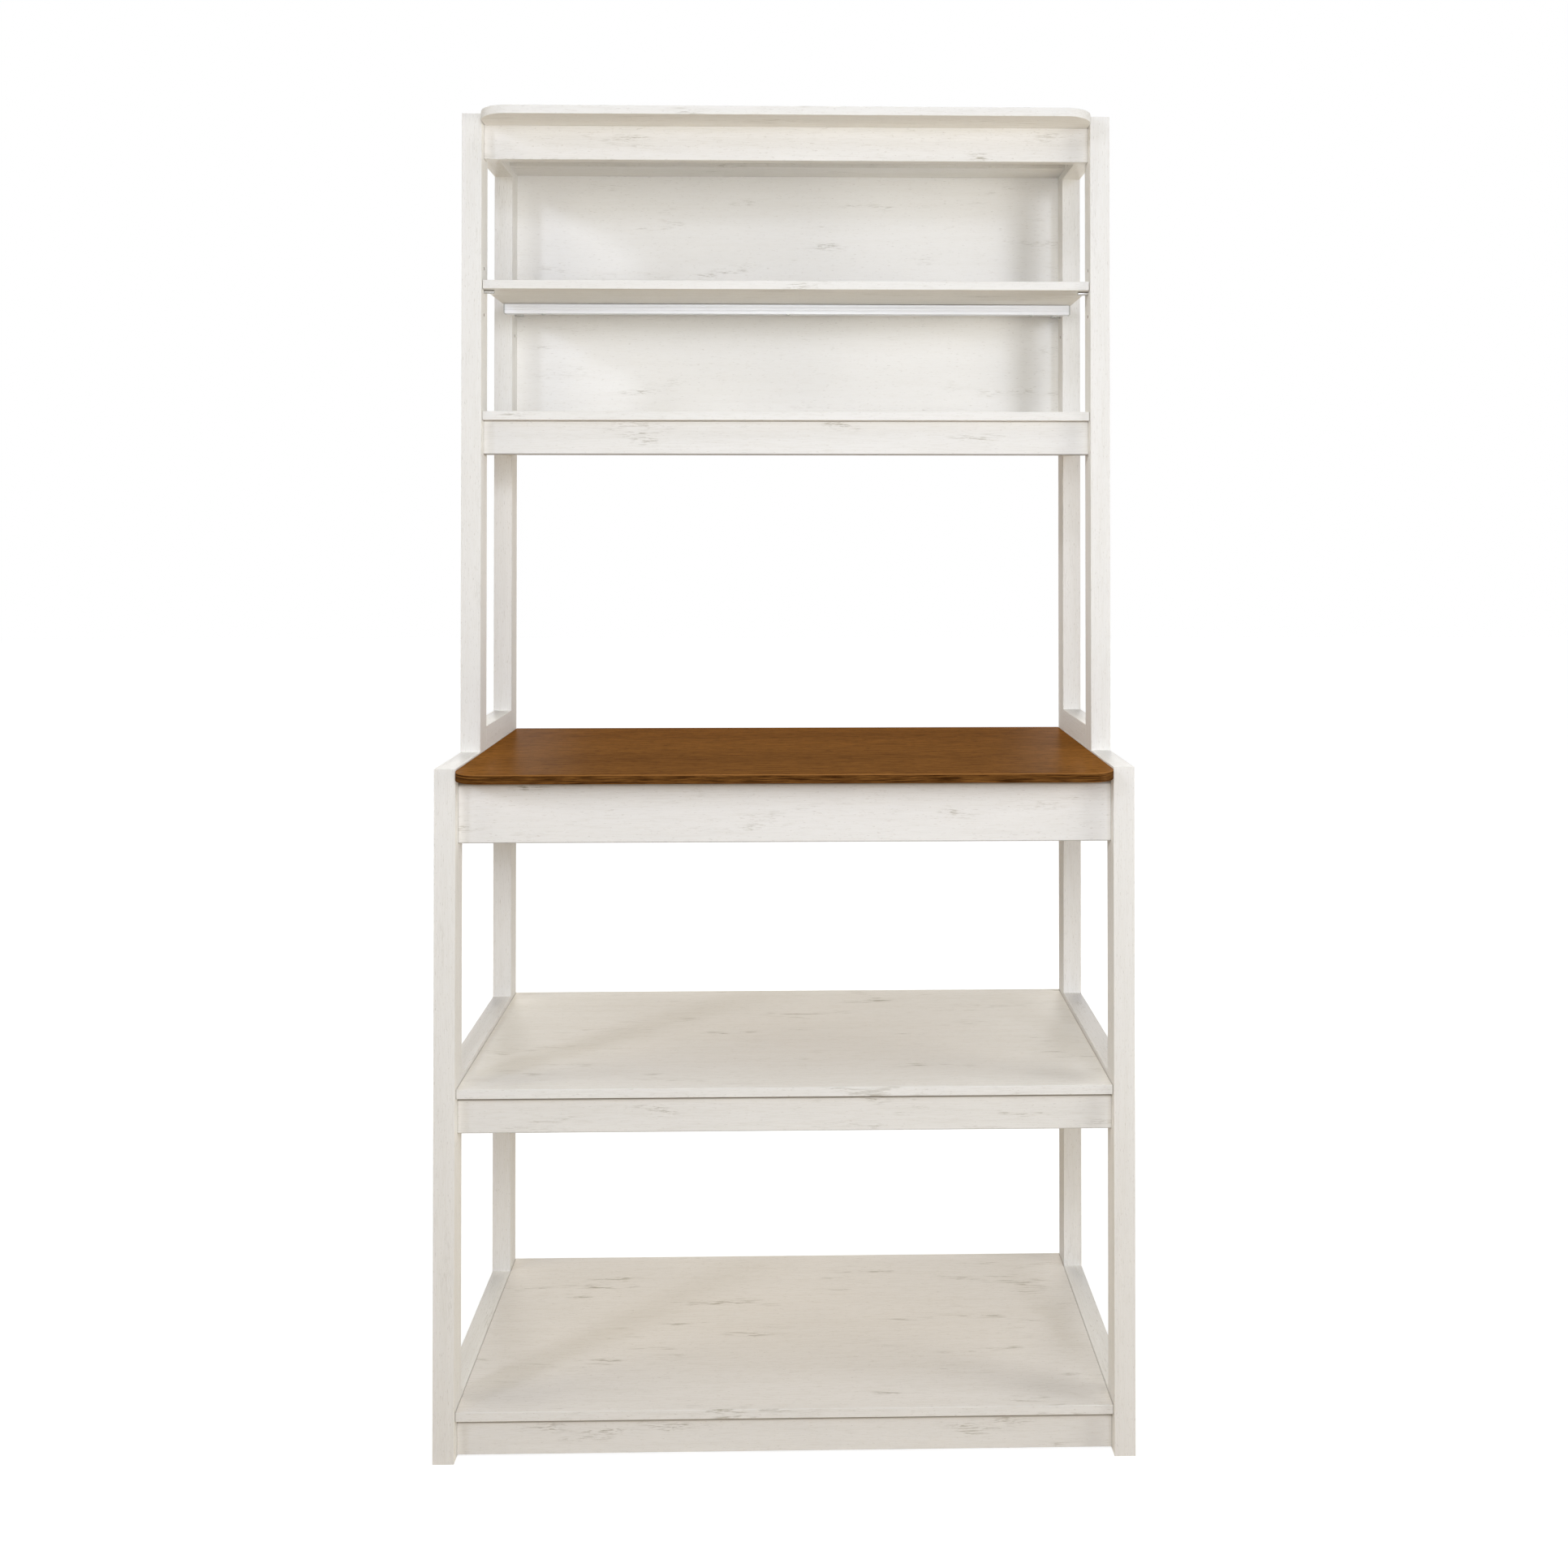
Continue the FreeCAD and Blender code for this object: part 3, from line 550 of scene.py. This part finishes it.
def cam_master(radius, depth):
    """A die-cast cam lock, its face up at height 0, with a cross recess and a raised rim."""
    rim, sunk = 0.5 * MM, 0.4 * MM
    side = [(0, -depth), (radius - rim, -depth), (radius, rim - depth), (radius, -rim)]
    top = [(radius - rim, 0), (radius - 1.3 * MM, 0), (radius - 1.7 * MM, -sunk), (0, -sunk)]
    tool = prism(cross_outline(3.9 * MM, 1.7 * MM), -3.2 * MM, 1 * MM, 0.7)
    return carved("cam", lathe(side + top, 40), tool)


def nail_master(low, high):
    """A flat-head panel nail along +Z, its head up, slightly domed."""
    reach = high.y - low.y
    wide = (high.x - low.x) / 2
    shank, head_foot = 0.8 * MM, -0.8 * MM
    stem = [(0, -reach), (shank, 2.2 * MM - reach), (shank, head_foot)]
    head = [(wide, head_foot), (wide, -0.45 * MM), (wide * 0.75, -0.12 * MM), (0, 0)]
    return mesh_data("nail", lathe(stem + head, 20))


def middle(box, letter):
    low, high = box
    return (getattr(low, letter) + getattr(high, letter)) / 2


def foot_of(box):
    """The place at a box's foot, in the middle of its width and depth."""
    return Matrix.Translation((middle(box, "x"), middle(box, "y"), box[0].z))


def face_of(box, at_back):
    """The place at the middle of a box's back or front face, its Z pointing out of that face."""
    low, high = box
    spot = (middle(box, "x"), high.y if at_back else low.y, middle(box, "z"))
    turn = Matrix.Rotation(-math.pi / 2 if at_back else math.pi / 2, 4, "X")
    return Matrix.Translation(spot) @ turn


screws = islands("stiffener_screws")
places = [foot_of(box) for box in screws]
fitted("bar_screws", screw_master(*screws[0]), places, "stiffener_screws", "adjustable_shelf_set", ZINC)

bolts = islands("hutch_bolts")
places = [foot_of(box) for box in bolts]
fitted("hutch_bolts_detailed", bolt_master(*bolts[0]), places, "hutch_bolts", "rack", ZINC)

# the cams of the front aprons show at their backs, and those of the rear rails at their fronts
REAR_RAILS_FROM = 0.1
CAM_TURN = 0.35
CAM_STEP = 2.1
cams = islands("cam_nuts")
places = []
for index, box in enumerate(cams):
    tightened = Matrix.Rotation(CAM_TURN * math.sin(CAM_STEP * index), 4, "Z")
    places.append(face_of(box, middle(box, "y") < REAR_RAILS_FROM) @ tightened)
cam_size = cams[0][1] - cams[0][0]
fitted("cam_locks", cam_master(cam_size.x / 2, cam_size.y), places, "cam_nuts", "rack", ZINC)

nails = islands("back_panel_nails")
places = [face_of(box, True) for box in nails]
fitted("panel_nails", nail_master(*nails[0]), places, "back_panel_nails", "rack", ZINC)


# ---------------------------------------------------------------- floor, light and camera
PURE_WHITE = (1.0, 1.0, 1.0, 1.0)
FLOOR_REACH = 14.0


def floor():
    """A pale floor. The camera sees it as white, and it keeps the rack's shadow."""
    made, g = material("floor")
    here = g.add("TexCoord").outputs["Object"]
    speck = g.noise(here, 40.0, 40.0)
    tint = g.mix(g.step(speck, 0.3, 0.7), (0.74, 0.63, 0.47), (0.72, 0.61, 0.45))
    bounce = g.add("BsdfDiffuse", {"Color": tint})
    shadow = g.add("BsdfDiffuse", {"Color": (0.30, 0.30, 0.30, 1.0)})
    away = g.add("VectorMath", {0: here}, operation="LENGTH").outputs["Value"]
    strength = g.step(away, 0.5, 2.4, 0.84, 1.0)
    glow = g.add("Emission", {"Color": PURE_WHITE, "Strength": strength})
    white = g.add("AddShader", {0: shadow.outputs[0], 1: glow.outputs[0]})
    both = g.add("MixShader", {0: g.seen(), 1: bounce.outputs[0], 2: white.outputs[0]})
    g.add("OutputMaterial", {"Surface": both.outputs[0]})
    mesh = bmesh.new()
    corners = ((-1, -1), (1, -1), (1, 1), (-1, 1))
    mesh.faces.new([mesh.verts.new((x * FLOOR_REACH, y * FLOOR_REACH, 0)) for x, y in corners])
    piece = solid("floor", mesh)
    piece.data.materials.append(made)


def sky():
    """Plain ambient light, white where the camera, metal or glass sees it."""
    world = bpy.data.worlds.new("studio")
    scene.world = world
    g = Graph(world)
    ambient = g.add("Background", {"Color": (1.0, 0.985, 0.95, 1.0), "Strength": 0.02})
    white = g.add("Background", {"Color": PURE_WHITE, "Strength": 1.0})
    both = g.add("MixShader", {0: g.seen(), 1: ambient.outputs[0], 2: white.outputs[0]})
    g.add("OutputWorld", {"Surface": both.outputs[0]})


def lamp(name, place, aim, size, power, tint=(1.0, 1.0, 1.0), gloss=True):
    """A round area lamp that points at a height on the rack's middle line. power is in watts."""
    data = bpy.data.lights.new(name, "AREA")
    data.shape, data.size, data.energy, data.color = "DISK", size, power, tint
    made = bpy.data.objects.new(name, data)
    made.location = place
    towards = Vector((0, 0, aim)) - Vector(place)
    made.rotation_euler = towards.to_track_quat("-Z", "Y").to_euler()
    made.visible_camera = False
    made.visible_glossy = gloss
    scene.collection.objects.link(made)


floor()
sky()
lamp("front", (0.0, -1.8, 1.4), 1.1, 0.8, 13.2, (0.96, 1.0, 1.05))
lamp("high_left", (-5.4, -4.9, 4.2), 0.8, 1.2, 92.0, (0.94, 1.0, 1.16))
lamp("high_right", (2.4, -7.0, 2.6), 0.8, 1.2, 78.0, (0.93, 1.0, 1.18))
lamp("left", (-2.9, -0.8, 1.9), 1.0, 1.2, 16.5, (1.05, 1.0, 0.84))
lamp("right", (2.9, -1.0, 1.3), 1.0, 1.2, 30.0, (0.99, 1.0, 1.0))
lamp("right_low", (2.9, -0.6, 0.4), 1.2, 1.0, 8.0, (1.0, 1.0, 0.90))
lamp("overhead", (0.0, -0.4, 3.6), 1.0, 2.2, 32.0, (0.97, 1.0, 1.04))
lamp("rear_high", (0.0, 2.6, 2.8), 0.7, 1.6, 33.0, (1.08, 1.0, 0.84), gloss=False)
lamp("rear_right", (0.95, 2.3, 1.3), 0.8, 0.55, 6.5)
lamp("rear_left", (-0.93, 2.3, 1.3), 0.8, 0.55, 6.0)

eye = bpy.data.cameras.new("camera")
eye.lens, eye.sensor_width, eye.sensor_fit = 33.816, 36.0, "HORIZONTAL"
eye.shift_x, eye.shift_y = -0.0297, -0.17
eye.clip_end = 60.0
camera = bpy.data.objects.new("camera", eye)
camera.location = (0.01876, -2.05813, 1.17503)
camera.rotation_euler = (math.radians(90.522), 0.0, math.radians(-1.1606))
scene.collection.objects.link(camera)
scene.camera = camera
